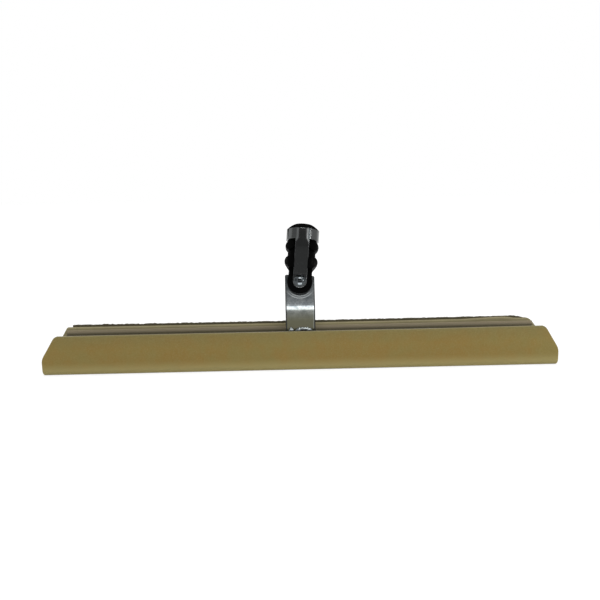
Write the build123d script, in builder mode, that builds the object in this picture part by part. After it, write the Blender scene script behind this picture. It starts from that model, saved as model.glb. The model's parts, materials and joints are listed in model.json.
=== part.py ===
from build123d import *
import os
from math import cos, radians, sin, sqrt, tan

# Floor finish applicator: a felt pad folded round a steel channel, carried on a swivelling socket.
# Millimetres. The origin is the middle of the sole, +X runs along the pad, +Y points to the back,
# where the socket leans, and +Z is up.

os.makedirs("parts", exist_ok=True)

# Felt pad, folded into a U
PAD_LENGTH = 610.0
PAD_HEIGHT = 48.0
PAD_INNER_WIDTH = 40.0
FELT_THICKNESS = 6.0
FOLD_INNER_RADIUS = 1.0
END_SQUARE_HEIGHT = 20.0  # lower part of each end, which is cut square
END_SET_IN = 17.0  # how far the slanted end brings in each top corner
END_KNUCKLE_RADIUS = 18.0  # where the square part runs into the slant
FRONT_CORNER_RADIUS = 7.0  # top corners of the front flap
REAR_CORNER_RADIUS = 2.0  # top corners of the rear flap

# Dark strip along the back of the rear flap
EDGE_STRIP_THICKNESS = 3.0
EDGE_STRIP_HEIGHT = 15.0
EDGE_STRIP_PROUD = 2.4  # how far it stands above the flap
EDGE_STRIP_SET_IN = 13.0  # from the flap's slanted ends

# Steel channel and what lies between it and the felt
CHANNEL_LENGTH = 560.0
CHANNEL_SHEET = 2.0
CHANNEL_BEND_RADIUS = 1.5  # inside of the bend
FRONT_WALL_DROP = 2.0  # from the flap's top edge down to the wall's
REAR_WALL_DROP = 10.0
TAPE_LENGTH = 576.0
TAPE_THICKNESS = 1.5
TAPE_HEIGHT = 20.0
TAPE_DROP = 3.0  # from the flap's top edge down to the tape's
CUSHION_THICKNESS = 10.0

# Bent strip that carries the socket
BRACKET_WIDTH = 35.0
BRACKET_THICKNESS = 3.0
BRACKET_BEND_HEIGHT = 74.0  # above the sole, where the two front faces meet
BRACKET_BEND_RADIUS = 14.0  # inside of the bend
BRACKET_EDGE = 1.2  # chamfer along the strip's long edges
BRACKET_LEAN = 17.0  # degrees, from upright
PIVOT_ABOVE_BEND = 30.5
TONGUE_ABOVE_PIVOT = 8.5  # at its middle
TONGUE_SLANT = 4.0  # degrees that the tip is sheared out of square, higher on the left
TONGUE_CORNER_RADIUS = 2.0

# Welds
BEAD_LENGTH = 29.0
BEAD_REACH = 2.6  # out over the wall
BEAD_RISE = 5.0  # up the bracket
BEAD_END = 1.2  # chamfer at each end of the bead
FOOT_FILLET = 4.0

# Swivel, measured outward from the middle of the tongue
RUNNING_GAP = 0.05
WEAR_WASHER_RADIUS = 13.6
WEAR_WASHER_THICKNESS = 1.2
CHEEK_THICKNESS = 8.0
SOCKET_SWING = 5.0  # degrees to the right of straight, seen from the front

# Moulded socket
BOSS_RADIUS = 14.8  # round end of each cheek
CHEEK_WIDTH = 27.6
CROTCH_CLEARANCE = 0.4  # beyond the sweep of the tongue's edge
CROTCH_WALL = 3.6  # between the crotch and the floor of the bore
NECK_RADIUS = 16.5
RIB_RADIUS = 19.7
RIB_TUBE_RADIUS = 5.3
RIB_ABOVE_CROTCH = 1.2
RIB_END_RADIUS = 20.0  # round the socket's axis, where the ribs end
SKIRT_HEIGHT = 9.0  # from the lower rib's middle down to the cheeks
RIB_PITCH = 18.0
BORE_RADIUS = 9.5
BORE_CHAMFER = 1.5
LIP_DOME_HEIGHT = 9.2  # of the dome that the bore cuts through

# Steel ferrule: a ring with two legs
FERRULE_SHEET = 1.8
RING_RADIUS = 19.4
RING_ABOVE_RIB = 7.4
RING_HEIGHT = 12.8
LEG_WIDTH = 16.2
LEG_KNEE_HEIGHT = 8.8  # above the pivot
LEG_BLEND = 9.0  # from the ring's curve down to the flat of the leg
LEG_SIDE_GAP = 0.4
SEAT_GAP = 0.05

# Bolt, bush and lock nut
BOLT_RADIUS = 4.0
BOLT_HEAD_RADIUS = 7.1
BOLT_HEAD_HEIGHT = 4.2
BOLT_HEAD_RIM = 0.8
BOLT_END = 1.5  # past the nut
BUSH_RADIUS = 5.5
NUT_ACROSS_FLATS = 13.0
NUT_HEX_HEIGHT = 6.0
NUT_COLLAR_RADIUS = 5.9
NUT_COLLAR_HEIGHT = 2.4
NUT_RING_RADIUS = 5.2
NUT_RING_HEIGHT = 1.6
NUT_WASHER_RADIUS = 8.0
NUT_WASHER_THICKNESS = 1.6

# Places that follow from the sizes above
pad_outer_half = PAD_INNER_WIDTH / 2 + FELT_THICKNESS
flap_inner = PAD_INNER_WIDTH / 2
channel_half = flap_inner - TAPE_THICKNESS
channel_base = FELT_THICKNESS + CUSHION_THICKNESS
front_wall_top = PAD_HEIGHT - FRONT_WALL_DROP
rear_wall_top = PAD_HEIGHT - REAR_WALL_DROP
tape_middle = PAD_HEIGHT - TAPE_DROP - TAPE_HEIGHT / 2
end_slope = END_SET_IN / (PAD_HEIGHT - END_SQUARE_HEIGHT)

lean = radians(BRACKET_LEAN)
bracket_front = -channel_half + CHANNEL_SHEET
bracket_foot = channel_base + CHANNEL_SHEET
wall_base = bracket_foot + CHANNEL_BEND_RADIUS
tip_rise = BRACKET_WIDTH / 2 * tan(radians(TONGUE_SLANT))
tongue_length = PIVOT_ABOVE_BEND + TONGUE_ABOVE_PIVOT + tip_rise

cheek_inner = BRACKET_THICKNESS / 2 + RUNNING_GAP + WEAR_WASHER_THICKNESS
cheek_outer = cheek_inner + CHEEK_THICKNESS
leg_outer = cheek_outer + FERRULE_SHEET
nut_seat = leg_outer + NUT_WASHER_THICKNESS
crotch_radius = sqrt(BRACKET_WIDTH**2 + CHEEK_WIDTH**2) / 2 + CROTCH_CLEARANCE
slot_height = BRACKET_WIDTH / 2 + CROTCH_CLEARANCE
bore_floor = crotch_radius + CROTCH_WALL
lower_rib = crotch_radius + RIB_ABOVE_CROTCH
upper_rib = lower_rib + RIB_PITCH
ring_base = upper_rib + RING_ABOVE_RIB
ring_top = ring_base + RING_HEIGHT
ring_inner_radius = RING_RADIUS - FERRULE_SHEET
leg_slope = (ring_inner_radius - cheek_outer) / (ring_base - LEG_KNEE_HEIGHT)
blend_base = ring_base - LEG_BLEND
leg_edge_depth = sqrt(ring_inner_radius**2 - (LEG_WIDTH / 2) ** 2)  # where the ring's curve meets a leg

# The pivot lies in the middle of the tongue. The socket's own directions are swung about it.
tongue_up = Vector(0, sin(lean), cos(lean))
forward = Vector(0, -cos(lean), sin(lean))
swing = radians(SOCKET_SWING)
across = Vector(1, 0, 0) * cos(swing) - tongue_up * sin(swing)
upward = tongue_up * cos(swing) + Vector(1, 0, 0) * sin(swing)
bend_point = Vector(0, bracket_front, BRACKET_BEND_HEIGHT)
pivot = bend_point + tongue_up * PIVOT_ABOVE_BEND - forward * (BRACKET_THICKNESS / 2)

tongue_plane = Plane(origin=pivot, x_dir=(1, 0, 0), z_dir=forward)
side_plane = Plane(origin=pivot, x_dir=forward * -1, z_dir=across)
socket_axis = Axis(pivot, upward)
bolt_axis = Axis(pivot, forward)


def facing_plane(distance):
    """Plane square to the bolt, at a distance in front of the middle of the tongue."""
    return Plane(origin=pivot + forward * distance, x_dir=across, z_dir=forward)


def level_plane(height):
    """Plane square to the socket's axis, at a height above the pivot."""
    return Plane(origin=pivot + upward * height, x_dir=across, z_dir=upward)


def leg_inner(height):
    """Distance of a leg's inner face from the socket's middle, above the knee."""
    return cheek_outer + (height - LEG_KNEE_HEIGHT) * leg_slope


def half_length(height):
    """Half of the pad's length at a height on the slanted part of its ends."""
    return PAD_LENGTH / 2 - (height - END_SQUARE_HEIGHT) * end_slope


# Felt pad
with BuildPart() as applicator_pad:
    with BuildSketch(Plane.YZ) as pad_section:
        with Locations((0, PAD_HEIGHT / 2)):
            Rectangle(2 * pad_outer_half, PAD_HEIGHT)
        fillet(pad_section.vertices().group_by(Axis.Y)[0], FOLD_INNER_RADIUS + FELT_THICKNESS)
        with BuildSketch(mode=Mode.PRIVATE) as pad_inside:
            with Locations((0, FELT_THICKNESS)):
                Rectangle(PAD_INNER_WIDTH, PAD_HEIGHT, align=(Align.CENTER, Align.MIN))
            fillet(pad_inside.vertices().group_by(Axis.Y)[0], FOLD_INNER_RADIUS)
        add(pad_inside.sketch, mode=Mode.SUBTRACT)
    extrude(amount=PAD_LENGTH / 2, both=True)
    with BuildSketch(Plane.XZ) as pad_outline:
        with BuildLine():
            Polyline(
                (-PAD_LENGTH / 2, 0),
                (PAD_LENGTH / 2, 0),
                (PAD_LENGTH / 2, END_SQUARE_HEIGHT),
                (half_length(PAD_HEIGHT), PAD_HEIGHT),
                (-half_length(PAD_HEIGHT), PAD_HEIGHT),
                (-PAD_LENGTH / 2, END_SQUARE_HEIGHT),
                close=True,
            )
        make_face()
        fillet(pad_outline.vertices().group_by(Axis.Y)[1], END_KNUCKLE_RADIUS)
    extrude(amount=2 * pad_outer_half, both=True, mode=Mode.INTERSECT)
    flap_corners = applicator_pad.edges().filter_by(Axis.Y).group_by(Axis.Z)[-1].group_by(Axis.Y)
    fillet(flap_corners[0], FRONT_CORNER_RADIUS)
    fillet(flap_corners[-1], REAR_CORNER_RADIUS)
applicator_pad.part.label = "applicator_pad"
export_step(applicator_pad.part, "parts/applicator_pad.step")

# Dark strip on the back of the rear flap
strip_top = PAD_HEIGHT + EDGE_STRIP_PROUD
strip_base = strip_top - EDGE_STRIP_HEIGHT
with BuildPart() as rear_edge_strip:
    with BuildSketch(Plane.XZ.offset(-pad_outer_half)):
        with BuildLine():
            Polyline(
                (-half_length(strip_base) + EDGE_STRIP_SET_IN, strip_base),
                (half_length(strip_base) - EDGE_STRIP_SET_IN, strip_base),
                (half_length(strip_top) - EDGE_STRIP_SET_IN, strip_top),
                (-half_length(strip_top) + EDGE_STRIP_SET_IN, strip_top),
                close=True,
            )
        make_face()
    extrude(amount=-EDGE_STRIP_THICKNESS)
rear_edge_strip.part.label = "rear_edge_strip"
export_step(rear_edge_strip.part, "parts/rear_edge_strip.step")

# Foam cushion between the sole and the channel
with BuildPart() as sole_cushion:
    with BuildSketch(Plane.YZ) as cushion_section:
        with Locations((0, FELT_THICKNESS)):
            Rectangle(2 * channel_half, CUSHION_THICKNESS, align=(Align.CENTER, Align.MIN))
        fillet(cushion_section.vertices().group_by(Axis.Y)[0], FOLD_INNER_RADIUS)
    extrude(amount=CHANNEL_LENGTH / 2, both=True)
sole_cushion.part.label = "sole_cushion"
export_step(sole_cushion.part, "parts/sole_cushion.step")

# Folded channel: the floor with its two bends, then the front wall and the lower rear wall
with BuildPart() as holder_floor:
    with BuildSketch(Plane.YZ) as floor_section:
        with Locations((0, channel_base)):
            Rectangle(2 * channel_half, wall_base - channel_base, align=(Align.CENTER, Align.MIN))
        fillet(floor_section.vertices().group_by(Axis.Y)[0], CHANNEL_BEND_RADIUS + CHANNEL_SHEET)
        with BuildSketch(mode=Mode.PRIVATE) as floor_inside:
            with Locations((0, bracket_foot)):
                Rectangle(-2 * bracket_front, wall_base - channel_base, align=(Align.CENTER, Align.MIN))
            fillet(floor_inside.vertices().group_by(Axis.Y)[0], CHANNEL_BEND_RADIUS)
        add(floor_inside.sketch, mode=Mode.SUBTRACT)
    extrude(amount=CHANNEL_LENGTH / 2, both=True)
holder_floor.part.label = "holder_floor"
export_step(holder_floor.part, "parts/holder_floor.step")

wall_middle = channel_half - CHANNEL_SHEET / 2
wall_places = {"holder_front_wall": (-wall_middle, front_wall_top)}
wall_places["holder_rear_wall"] = (wall_middle, rear_wall_top)
for wall_name, (wall_y, wall_top) in wall_places.items():
    with BuildPart() as holder_wall:
        with Locations((0, wall_y, wall_base)):
            wall_align = (Align.CENTER, Align.CENTER, Align.MIN)
            Box(CHANNEL_LENGTH, CHANNEL_SHEET, wall_top - wall_base, align=wall_align)
    holder_wall.part.label = wall_name
    export_step(holder_wall.part, f"parts/{wall_name}.step")

# Hook tapes on the two walls
tape_faces = {"front_hook_tape": -channel_half - TAPE_THICKNESS / 2}
tape_faces["rear_hook_tape"] = channel_half + TAPE_THICKNESS / 2
for tape_name, tape_y in tape_faces.items():
    with BuildPart() as hook_tape:
        with Locations((0, tape_y, tape_middle)):
            Box(TAPE_LENGTH, TAPE_THICKNESS, TAPE_HEIGHT)
    hook_tape.part.label = tape_name
    export_step(hook_tape.part, f"parts/{tape_name}.step")

# Bent bracket
with BuildPart() as handle_bracket:
    with BuildSketch(Plane.YZ) as bracket_section:
        tip_front = bend_point + tongue_up * tongue_length
        tip_rear = tip_front - forward * BRACKET_THICKNESS
        bend_rear = bend_point + Vector(0, 1, -tan(lean / 2)) * BRACKET_THICKNESS
        with BuildLine():
            Polyline(
                (bend_point.Y, bracket_foot),
                (bend_point.Y, bend_point.Z),
                (tip_front.Y, tip_front.Z),
                (tip_rear.Y, tip_rear.Z),
                (bend_rear.Y, bend_rear.Z),
                (bend_rear.Y, bracket_foot),
                close=True,
            )
        make_face()
        outer_corner = bracket_section.vertices().sort_by_distance((bend_point.Y, bend_point.Z))[0]
        fillet(outer_corner, BRACKET_BEND_RADIUS + BRACKET_THICKNESS)
        inner_corner = bracket_section.vertices().sort_by_distance((bend_rear.Y, bend_rear.Z))[0]
        fillet(inner_corner, BRACKET_BEND_RADIUS)
        foot_corner = bracket_section.vertices().sort_by_distance((bend_point.Y, bracket_foot))[0]
        chamfer(foot_corner, CHANNEL_BEND_RADIUS)
    extrude(amount=BRACKET_WIDTH / 2, both=True)
    with BuildSketch(tongue_plane):
        with BuildLine():
            Polyline(
                (-BRACKET_WIDTH / 2, TONGUE_ABOVE_PIVOT + tip_rise),
                (BRACKET_WIDTH / 2, TONGUE_ABOVE_PIVOT - tip_rise),
                (BRACKET_WIDTH / 2, TONGUE_ABOVE_PIVOT + tip_rise),
                close=True,
            )
        make_face()
    extrude(amount=BRACKET_THICKNESS, both=True, mode=Mode.SUBTRACT)
    tip_edges = handle_bracket.edges().filter_by(bolt_axis).sort_by(Axis.Z)[-2:]
    fillet(tip_edges, TONGUE_CORNER_RADIUS)
    side_faces = handle_bracket.faces().sort_by(Axis.X)
    side_edges = side_faces[0].edges() + side_faces[-1].edges()
    chamfer([edge for edge in side_edges if edge.length > BRACKET_THICKNESS], BRACKET_EDGE)
    with Locations(tongue_plane):
        Hole(BUSH_RADIUS + RUNNING_GAP)
handle_bracket.part.label = "handle_bracket"
export_step(handle_bracket.part, "parts/handle_bracket.step")

# Weld bead on the front wall and fillet at the bracket's foot
with BuildPart() as bracket_weld:
    with BuildSketch(Plane.YZ):
        with Locations((bracket_front, front_wall_top)):
            Ellipse(BEAD_REACH, BEAD_RISE)
            Rectangle(BEAD_REACH, BEAD_RISE, align=(Align.MAX, Align.MIN), mode=Mode.INTERSECT)
    extrude(amount=BEAD_LENGTH / 2, both=True)
    chamfer(bracket_weld.edges().filter_by(GeomType.ELLIPSE), BEAD_END)
    with BuildSketch(Plane.YZ) as foot_section:
        with BuildLine():
            Polyline(
                (bend_rear.Y, bracket_foot),
                (bend_rear.Y + FOOT_FILLET, bracket_foot),
                (bend_rear.Y, bracket_foot + FOOT_FILLET),
                close=True,
            )
        make_face()
    extrude(amount=BEAD_LENGTH / 2, both=True)
bracket_weld.part.label = "bracket_weld"
export_step(bracket_weld.part, "parts/bracket_weld.step")

# Moulded socket: a fork below, a ribbed barrel above
with BuildPart() as socket_body:
    with BuildSketch(side_plane):
        with BuildLine():
            Polyline(
                (-cheek_outer, -BOSS_RADIUS),
                (cheek_outer, -BOSS_RADIUS),
                (cheek_outer, LEG_KNEE_HEIGHT),
                (leg_inner(lower_rib), lower_rib),
                (-leg_inner(lower_rib), lower_rib),
                (-cheek_outer, LEG_KNEE_HEIGHT),
                close=True,
            )
        make_face()
    extrude(amount=BOSS_RADIUS, both=True)
    with BuildSketch(facing_plane(0)):
        Circle(BOSS_RADIUS)
        Rectangle(CHEEK_WIDTH, lower_rib, align=(Align.CENTER, Align.MIN))
    extrude(amount=RIB_RADIUS, both=True, mode=Mode.INTERSECT)
    with BuildSketch(side_plane):
        neck_start = crotch_radius + NECK_RADIUS - CHEEK_WIDTH / 2
        with BuildLine():
            barrel_side = Polyline(
                (0, crotch_radius),
                (CHEEK_WIDTH / 2, crotch_radius),
                (NECK_RADIUS, neck_start),
                (NECK_RADIUS, ring_base),
                (ring_inner_radius - SEAT_GAP, ring_base),
                (ring_inner_radius - SEAT_GAP, ring_top),
                (RING_RADIUS, ring_top),
            )
            dome_top = (0, ring_top + LIP_DOME_HEIGHT)
            TangentArc(dome_top, barrel_side @ 1, tangent=(1, 0))
            Line(dome_top, barrel_side @ 0)
        make_face()
    revolve(axis=socket_axis)
    # Ribs on the two sides, the lower one with a skirt that runs in to the cheeks
    rib_middle = RIB_RADIUS - RIB_TUBE_RADIUS
    skirt_base = lower_rib - SKIRT_HEIGHT
    with BuildPart(mode=Mode.PRIVATE) as side_ribs:
        with BuildSketch(facing_plane(0)):
            with BuildSketch(mode=Mode.PRIVATE) as skirted_rib:
                with BuildLine():
                    CenterArc((rib_middle, lower_rib), RIB_TUBE_RADIUS, 0, 360)
                    Line((rib_middle / 2, skirt_base), (CHEEK_WIDTH / 2, skirt_base))
                make_hull()
            add(skirted_rib.sketch)
            with Locations((rib_middle, upper_rib)):
                Circle(RIB_TUBE_RADIUS)
            mirror(about=Plane.YZ)
        extrude(amount=RIB_END_RADIUS, both=True)
        with BuildSketch(level_plane(0)):
            Circle(RIB_END_RADIUS)
        extrude(amount=ring_base, mode=Mode.INTERSECT)
    add(side_ribs.part)
    # Flats where the ferrule's legs lie
    with BuildSketch(side_plane) as leg_room:
        with BuildLine():
            Polyline(
                (cheek_outer, -CHEEK_WIDTH),
                (cheek_outer, LEG_KNEE_HEIGHT),
                (leg_inner(blend_base), blend_base),
                (leg_edge_depth - LEG_SIDE_GAP, ring_base),
                (2 * RIB_RADIUS, ring_base),
                (2 * RIB_RADIUS, -CHEEK_WIDTH),
                close=True,
            )
        make_face()
        mirror(about=Plane.YZ)
    extrude(amount=LEG_WIDTH / 2 + LEG_SIDE_GAP, both=True, mode=Mode.SUBTRACT)
    # Slot for the tongue, then the pivot hole
    with BuildSketch(facing_plane(0)):
        Circle(crotch_radius)
        Rectangle(2 * RIB_RADIUS, slot_height, align=(Align.CENTER, Align.MIN))
    extrude(amount=cheek_inner, both=True, mode=Mode.SUBTRACT)
    with BuildSketch(facing_plane(0)):
        Circle(BUSH_RADIUS + RUNNING_GAP)
    extrude(amount=RIB_RADIUS, both=True, mode=Mode.SUBTRACT)
    # Handle bore
    with BuildSketch(level_plane(bore_floor)):
        Circle(BORE_RADIUS)
    extrude(amount=ring_top + LIP_DOME_HEIGHT - bore_floor, mode=Mode.SUBTRACT)
    bore_rim = socket_body.edges().filter_by(GeomType.CIRCLE).sort_by(socket_axis)[-1]
    chamfer(bore_rim, BORE_CHAMFER)
socket_body.part.label = "socket_body"
export_step(socket_body.part, "parts/socket_body.step")

# Ferrule
with BuildPart() as ferrule:
    with BuildSketch(side_plane):
        with BuildLine():
            Polyline(
                (cheek_outer, -LEG_WIDTH / 2),
                (leg_outer, -LEG_WIDTH / 2),
                (leg_outer, LEG_KNEE_HEIGHT),
                (leg_inner(blend_base) + FERRULE_SHEET, blend_base),
                (leg_inner(blend_base), blend_base),
                (cheek_outer, LEG_KNEE_HEIGHT),
                close=True,
            )
        make_face()
    extrude(amount=LEG_WIDTH / 2, both=True)
    with BuildSketch(facing_plane(0)):
        Circle(LEG_WIDTH / 2)
        Rectangle(LEG_WIDTH, blend_base, align=(Align.CENTER, Align.MIN))
    extrude(amount=-RIB_RADIUS, mode=Mode.INTERSECT)
    with BuildSketch(level_plane(blend_base)):
        with Locations((0, leg_inner(blend_base))):
            Rectangle(LEG_WIDTH, FERRULE_SHEET, align=(Align.CENTER, Align.MIN))
    with BuildSketch(level_plane(ring_base)):
        Circle(RING_RADIUS)
        Circle(ring_inner_radius, mode=Mode.SUBTRACT)
        Rectangle(LEG_WIDTH, RING_RADIUS, align=(Align.CENTER, Align.MIN), mode=Mode.INTERSECT)
    loft()
    mirror(about=facing_plane(0))
    with BuildSketch(level_plane(ring_base)):
        Circle(RING_RADIUS)
        Circle(ring_inner_radius, mode=Mode.SUBTRACT)
    extrude(amount=RING_HEIGHT)
    with BuildSketch(facing_plane(0)):
        Circle(BOLT_RADIUS + RUNNING_GAP)
    extrude(amount=RIB_RADIUS, both=True, mode=Mode.SUBTRACT)
ferrule.part.label = "ferrule"
export_step(ferrule.part, "parts/ferrule.step")

# Wear washers on either side of the tongue
washer_starts = {"front_wear_washer": cheek_inner - WEAR_WASHER_THICKNESS}
washer_starts["rear_wear_washer"] = -cheek_inner
for washer_name, washer_start in washer_starts.items():
    with BuildPart() as wear_washer:
        with BuildSketch(facing_plane(washer_start)):
            Circle(WEAR_WASHER_RADIUS)
            Circle(BUSH_RADIUS + RUNNING_GAP, mode=Mode.SUBTRACT)
        extrude(amount=WEAR_WASHER_THICKNESS)
    wear_washer.part.label = washer_name
    export_step(wear_washer.part, f"parts/{washer_name}.step")

# Bush between the ferrule's legs
with BuildPart() as pivot_bush:
    with BuildSketch(facing_plane(-cheek_outer)):
        Circle(BUSH_RADIUS)
        Circle(BOLT_RADIUS + RUNNING_GAP, mode=Mode.SUBTRACT)
    extrude(amount=2 * cheek_outer)
pivot_bush.part.label = "pivot_bush"
export_step(pivot_bush.part, "parts/pivot_bush.step")

# Bolt with a domed head at the front
bolt_back = nut_seat + NUT_HEX_HEIGHT + NUT_COLLAR_HEIGHT + BOLT_END
with BuildPart() as pivot_bolt:
    with BuildSketch(Plane(origin=pivot, x_dir=across, z_dir=upward * -1)):
        with BuildLine():
            head_base = Line((0, leg_outer), (BOLT_HEAD_RADIUS, leg_outer))
            head_rim = Line(head_base @ 1, (BOLT_HEAD_RADIUS, leg_outer + BOLT_HEAD_RIM))
            head_top = (0, leg_outer + BOLT_HEAD_HEIGHT)
            TangentArc(head_top, head_rim @ 1, tangent=(1, 0))
            Line(head_top, (0, leg_outer))
        make_face()
        with Locations((0, -bolt_back)):
            Rectangle(BOLT_RADIUS, bolt_back + leg_outer, align=(Align.MIN, Align.MIN))
    revolve(axis=bolt_axis)
pivot_bolt.part.label = "pivot_bolt"
export_step(pivot_bolt.part, "parts/pivot_bolt.step")

# Washer and lock nut at the back
with BuildPart() as nut_washer:
    with BuildSketch(facing_plane(-leg_outer)):
        Circle(NUT_WASHER_RADIUS)
        Circle(BOLT_RADIUS + RUNNING_GAP, mode=Mode.SUBTRACT)
    extrude(amount=-NUT_WASHER_THICKNESS)
nut_washer.part.label = "nut_washer"
export_step(nut_washer.part, "parts/nut_washer.step")

collar_end = nut_seat + NUT_HEX_HEIGHT + NUT_COLLAR_HEIGHT
with BuildPart() as pivot_nut:
    with BuildSketch(facing_plane(-nut_seat)):
        RegularPolygon(NUT_ACROSS_FLATS / 2, 6, major_radius=False)
    extrude(amount=-NUT_HEX_HEIGHT)
    with BuildSketch(facing_plane(-nut_seat)):
        Circle(NUT_COLLAR_RADIUS)
    extrude(amount=-NUT_HEX_HEIGHT - NUT_COLLAR_HEIGHT)
    with BuildSketch(facing_plane(-nut_seat)):
        Circle(BOLT_RADIUS + RUNNING_GAP)
    extrude(amount=-NUT_HEX_HEIGHT - NUT_COLLAR_HEIGHT, mode=Mode.SUBTRACT)
    with BuildSketch(facing_plane(-collar_end)):
        Circle(NUT_RING_RADIUS)
    extrude(amount=NUT_RING_HEIGHT, mode=Mode.SUBTRACT)
pivot_nut.part.label = "pivot_nut"
export_step(pivot_nut.part, "parts/pivot_nut.step")

with BuildPart() as nut_collar_ring:
    with BuildSketch(facing_plane(-collar_end)):
        Circle(NUT_RING_RADIUS - SEAT_GAP)
        Circle(BOLT_RADIUS + RUNNING_GAP, mode=Mode.SUBTRACT)
    extrude(amount=NUT_RING_HEIGHT)
nut_collar_ring.part.label = "nut_collar_ring"
export_step(nut_collar_ring.part, "parts/nut_collar_ring.step")
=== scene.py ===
"""Floor finish applicator: a felt pad folded round a steel channel, with a bracket and a swivel socket.

The packed model gives every place and size. The operators below dress it: soft pieces are built as
soft forms in place of their plain solids, the rigid pieces get their finishes, and the stage is a
small white studio.
"""
import json
import math
from functools import partial

import bmesh
import bpy
from bpy.props import FloatProperty, FloatVectorProperty, PointerProperty
from mathutils import Matrix, Vector, noise


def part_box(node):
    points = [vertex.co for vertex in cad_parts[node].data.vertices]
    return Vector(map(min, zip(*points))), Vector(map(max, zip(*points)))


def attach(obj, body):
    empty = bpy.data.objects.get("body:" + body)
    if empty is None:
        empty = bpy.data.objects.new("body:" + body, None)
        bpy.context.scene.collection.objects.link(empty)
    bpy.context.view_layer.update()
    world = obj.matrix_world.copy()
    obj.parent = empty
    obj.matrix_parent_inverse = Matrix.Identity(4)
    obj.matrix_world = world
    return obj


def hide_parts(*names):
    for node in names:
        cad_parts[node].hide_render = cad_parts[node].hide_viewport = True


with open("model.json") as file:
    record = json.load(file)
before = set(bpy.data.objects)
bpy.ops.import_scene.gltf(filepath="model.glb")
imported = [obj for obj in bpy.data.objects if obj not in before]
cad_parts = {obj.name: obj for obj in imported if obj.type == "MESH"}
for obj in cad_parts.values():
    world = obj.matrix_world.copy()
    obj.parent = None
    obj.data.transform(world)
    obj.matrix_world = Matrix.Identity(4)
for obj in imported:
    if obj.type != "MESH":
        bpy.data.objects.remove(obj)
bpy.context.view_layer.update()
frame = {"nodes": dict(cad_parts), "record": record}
PIVOT = Vector(frame["record"]["behaviour"]["joints"][0]["pos_m"])

bl_info = {
    "name": "Floor finish applicator",
    "version": (1, 0, 0),
    "blender": (4, 5, 0),
    "location": "View3D > Sidebar > Applicator",
    "description": "Felt, steel, moulding and studio for a floor finish applicator",
    "category": "Object",
}

MM = 0.001


def linear(code):
    """Turns an sRGB hex colour into linear red, green, blue and alpha."""
    shares = [int(code[i:i + 2], 16) / 255 for i in (1, 3, 5)]
    return (*[c / 12.92 if c <= 0.04045 else ((c + 0.055) / 1.055) ** 2.4 for c in shares], 1.0)


def length(name, millimetres, text):
    """A length that a user may change, given in millimetres."""
    return FloatProperty(name=name, description=text, default=millimetres * MM, unit="LENGTH",
                         precision=4)


def colour(name, code, text):
    """A colour that a user may change, given as sRGB hex."""
    return FloatVectorProperty(name=name, description=text, default=linear(code), subtype="COLOR",
                               size=4, min=0, max=1)


def amount(name, value, text):
    """A plain number that a user may change."""
    return FloatProperty(name=name, description=text, default=value)


class FeltSettings(bpy.types.PropertyGroup):
    """The folded felt pad."""

    thickness: length("Thickness", 6, "Thickness of the felt")
    edge_round: length("Edge rounding", 1.8, "How far the cut edges of the felt are rounded")
    inner_fold: length("Inner fold", 1, "Inside radius of the two folds along the sole")
    square_height: length("Square height", 20, "Height where each end would start to slant if unrounded")
    knuckle: length("Knuckle", 18, "Radius between the square and the slanted part of each end")
    set_in: length("Set in", 17, "How far the slant sets each flap's top corner in")
    front_corner: length("Front corner", 7, "Radius of the front flap's top corners")
    rear_corner: length("Rear corner", 2, "Radius of the rear flap's top corners")
    worn_corner: length("Worn corner", 2.8, "How far the rear flap's right corner is worn back")
    wave: length("Wave", 0.45, "How far the flaps wander from flat")
    nap: length("Nap", 0.12, "How far the nap stands on the outer face")
    settle: length("Settle", 0.8, "How far the front flap's edge has settled")
    sag: length("Sag", 0.5, "How far the rear flap's edge sags in the middle")
    hump: length("Hump", 1.7, "How far the rear flap's edge stands up near its right end")
    tan: colour("Tan", "#7E7041", "Main colour of the felt")
    brown: colour("Brown", "#826C3B", "Warmer patches in the felt")
    pale: colour("Pale", "#8D8054", "Pale fibres on the surface of the felt")
    # Foot is painted light: the felt is painted paler near the floor, where light bounced up from the
    # floor falls.
    foot: colour("Foot", "#9A9063", "Felt near the floor, where it is worn")
    inside: colour("Inside", "#867E60", "Inner face of the felt")
    inside_dull: colour("Dull inside", "#7D755A", "Dull patches on the inner face of the felt")
    # Rim darkens the felt towards the flaps' top edges.
    rim: colour("Rim", "#6C6544", "Matted felt along the flaps' top edges")


class TrimSettings(bpy.types.PropertyGroup):
    """The strip on the rear flap, the hook tapes and the foam."""

    ragged: length("Ragged edge", 0.8, "How far the strip's cut edge goes up and down")
    lowered: length("Lowered edge", 0.1, "How far the strip's cut edge has shrunk down")
    sag: length("Sag", 0.6, "How far the strip's cut edge sags in the middle")
    fibre: length("Fibre", 1.3, "Length of the loose fibres along the strip's edge")
    border: length("Tape border", 2.2, "Width of the plain woven border of a hook tape")
    # The strip's dark colour is painted shadow: a dark sheet put along the rear flap's top, where shadow
    # lies.
    dark: colour("Strip", "#443F30", "Main colour of the dark felt strip")
    dark_pale: colour("Strip fibres", "#6B6450", "Paler fibres in the dark felt strip")
    foam: colour("Foam", "#B9A982", "Colour of the foam under the channel")
    tape: colour("Tape border colour", "#8A7F68", "Colour of the hook tapes' woven borders")
    hooks: colour("Hooks", "#4B4534", "Colour of the rows of hooks")


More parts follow.
